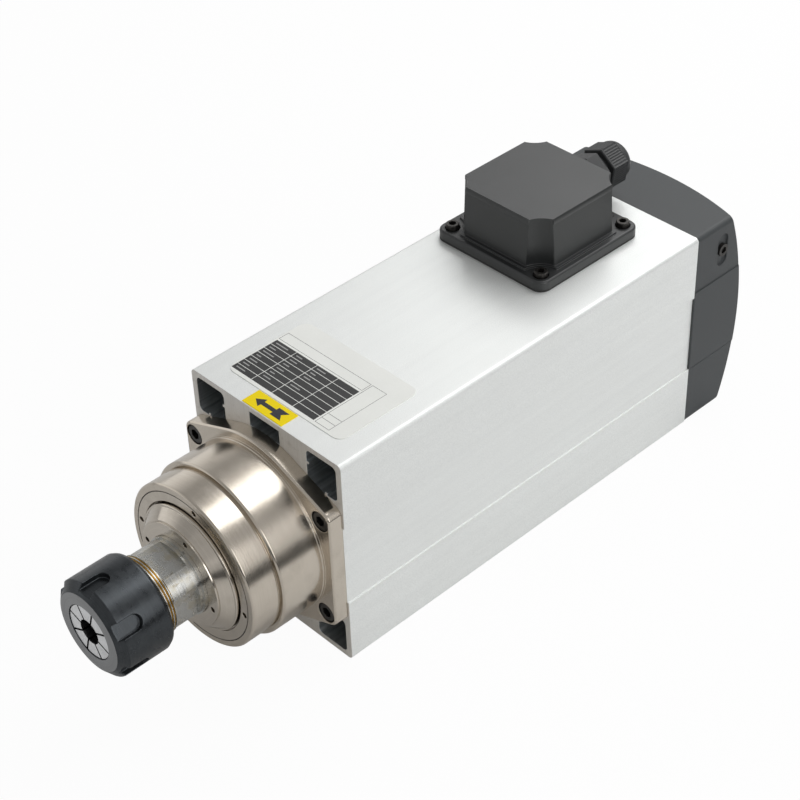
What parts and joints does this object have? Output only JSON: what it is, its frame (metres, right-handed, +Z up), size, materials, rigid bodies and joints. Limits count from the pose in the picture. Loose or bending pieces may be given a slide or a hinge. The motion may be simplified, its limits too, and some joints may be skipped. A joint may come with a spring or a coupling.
{
  "type": "motor spindle",
  "caption": "Air-cooled square-bodied motor spindle with a flanged bearing nose, spring collet and nut, junction box with cable gland, and a grilled fan cover.",
  "frame": {"origin": "middle of the motor body's flat bottom face", "axes": "+Z up through the junction box, +Y towards the fan cover, the tool leaves along -Y"},
  "size_m": [0.104, 0.3997, 0.1535],
  "materials": {
    "housing_alloy": "bead-blasted natural aluminium with faint extrusion lines",
    "nose_steel": "fine turned, warm grey",
    "shaft_steel": "ground, with thin oil stains",
    "nut_steel": "dark satin, heat-treated",
    "collet_steel": "ground spring steel",
    "bearing_steel": "polished",
    "cage_brass": "machined",
    "core_steel": "stacked electrical steel",
    "cast_rotor": "as cast",
    "winding_copper": "varnished copper wire",
    "lead_insulation": "silicone sleeve",
    "shield_alloy": "die cast",
    "black_screw": "black oxide",
    "plated_screw": "zinc plated",
    "cover_plastic": "fine moulded texture",
    "fan_plastic": "moulded",
    "box_plastic": "satin moulded black",
    "gland_nylon": "moulded nylon",
    "terminal_plastic": "moulded",
    "seal_rubber": "soft rubber",
    "plate_grey": "printed film with a plain table",
    "label_yellow": "printed film with a plain arrow"
  },
  "bodies": {
    "housing": {"housing_extrusion": "housing_alloy", "front_bearing_housing": "nose_steel", "front_flange_screws": "black_screw", "bearing_retainer_ring": "nose_steel", "front_bearing_outer_rings": "bearing_steel", "front_outer_spacer": "collet_steel", "stator_core": "core_steel", "stator_winding": "winding_copper", "motor_leads": "lead_insulation", "rear_bearing_housing": "shield_alloy", "rear_flange_screws": "black_screw", "rear_bearing_outer_ring": "bearing_steel", "preload_wave_spring": "collet_steel", "fan_cover": "cover_plastic", "fan_cover_screws": "black_screw", "junction_box": "box_plastic", "junction_box_gasket": "seal_rubber", "junction_box_screws": "black_screw", "terminal_block": "terminal_plastic", "terminal_screws": "plated_screw", "earth_screw": "plated_screw", "gland_body": "gland_nylon", "gland_o_ring": "seal_rubber", "gland_locknut": "gland_nylon", "rating_plate": "plate_grey", "direction_label": "label_yellow"},
    "spindle": {"spindle_shaft": "shaft_steel", "labyrinth_nut": "nose_steel", "front_bearing_inner_rings": "bearing_steel", "front_inner_spacer": "collet_steel", "rotor_core": "core_steel", "rotor_cage": "cast_rotor", "rear_bearing_inner_ring": "bearing_steel", "rear_lock_nut": "nut_steel", "cooling_fan": "fan_plastic", "fan_key": "collet_steel", "fan_circlip": "collet_steel"},
    "front_ball_train": {"front_bearing_balls": "bearing_steel", "front_bearing_cages": "cage_brass"},
    "rear_ball_train": {"rear_bearing_balls": "bearing_steel", "rear_bearing_cage": "cage_brass"},
    "collet": {"collet": "collet_steel"},
    "collet_nut": {"collet_nut": "nut_steel"},
    "gland_seal": {"gland_seal": "seal_rubber"},
    "gland_nut": {"gland_dome_nut": "gland_nylon"}
  },
  "joints": [
    {"name": "spindle_spin", "type": "hinge", "parent": "housing", "child": "spindle", "pos_m": [0, 0, 0.06], "axis": [0, -1, 0], "continuous": true},
    {"name": "front_ball_spin", "type": "hinge", "parent": "housing", "child": "front_ball_train", "pos_m": [0, 0, 0.06], "axis": [0, -1, 0], "continuous": true},
    {"name": "rear_ball_spin", "type": "hinge", "parent": "housing", "child": "rear_ball_train", "pos_m": [0, 0, 0.06], "axis": [0, -1, 0], "continuous": true},
    {"name": "collet_slide", "type": "slide", "parent": "spindle", "child": "collet", "axis": [0, -1, 0], "range_m": [0, 0.003]},
    {"name": "nut_turn", "type": "hinge", "parent": "collet", "child": "collet_nut", "pos_m": [0, 0, 0.06], "axis": [0, -1, 0], "range_deg": [0, 720]},
    {"name": "gland_seal_slide", "type": "slide", "parent": "housing", "child": "gland_seal", "axis": [0, 1, 0], "range_m": [0, 0.003]},
    {"name": "gland_nut_turn", "type": "hinge", "parent": "gland_seal", "child": "gland_nut", "pos_m": [-0.0094, 0, 0.1392], "axis": [0, 1, 0], "range_deg": [0, 720]}
  ],
  "couplings": [
    {"joint": "front_ball_spin", "follows": "spindle_spin", "ratio": 0.4208},
    {"joint": "rear_ball_spin", "follows": "spindle_spin", "ratio": 0.4022},
    {"joint": "collet_slide", "follows": "nut_turn", "m_per_rad": 0.0002387},
    {"joint": "gland_seal_slide", "follows": "gland_nut_turn", "m_per_rad": 0.0002387}
  ]
}
